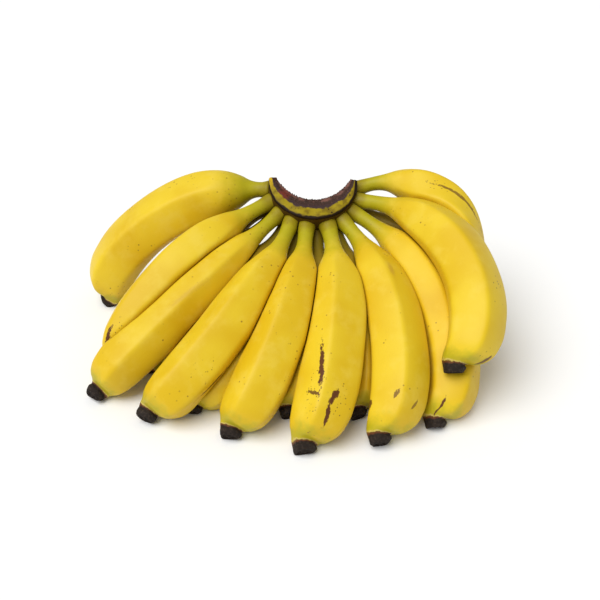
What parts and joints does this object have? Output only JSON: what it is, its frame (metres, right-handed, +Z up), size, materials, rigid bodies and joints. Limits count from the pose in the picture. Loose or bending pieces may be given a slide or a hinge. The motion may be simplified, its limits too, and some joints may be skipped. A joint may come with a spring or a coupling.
{
  "type": "bunch of bananas",
  "caption": "Hand of ripe yellow bananas in two rows on one cut crown, lying on its fingertips with the backs of the fingers up.",
  "frame": {"origin": "middle of the bounding box, on the surface that the fingertips rest on", "axes": "+Z up, -Y towards the fingertips of the front fingers, +X to the right across the hand"},
  "size_m": [0.332, 0.2154, 0.1159],
  "materials": {
    "peel": "waxy ripe peel, soft satin, with green at the necks, dark brown blossom ends, small bruises and freckles",
    "crown": "olive stalk skin with a dry, fibrous brown cut edge"
  },
  "bodies": {
    "root": {"crown": "crown", "outer_finger_01": "peel", "outer_finger_02": "peel", "outer_finger_03": "peel", "outer_finger_04": "peel", "outer_finger_05": "peel", "outer_finger_06": "peel", "outer_finger_07": "peel", "outer_finger_08": "peel", "outer_finger_09": "peel", "outer_finger_10": "peel", "inner_finger_01": "peel", "inner_finger_02": "peel", "inner_finger_03": "peel", "inner_finger_04": "peel", "inner_finger_05": "peel", "inner_finger_06": "peel", "inner_finger_07": "peel"}
  },
  "joints": []
}
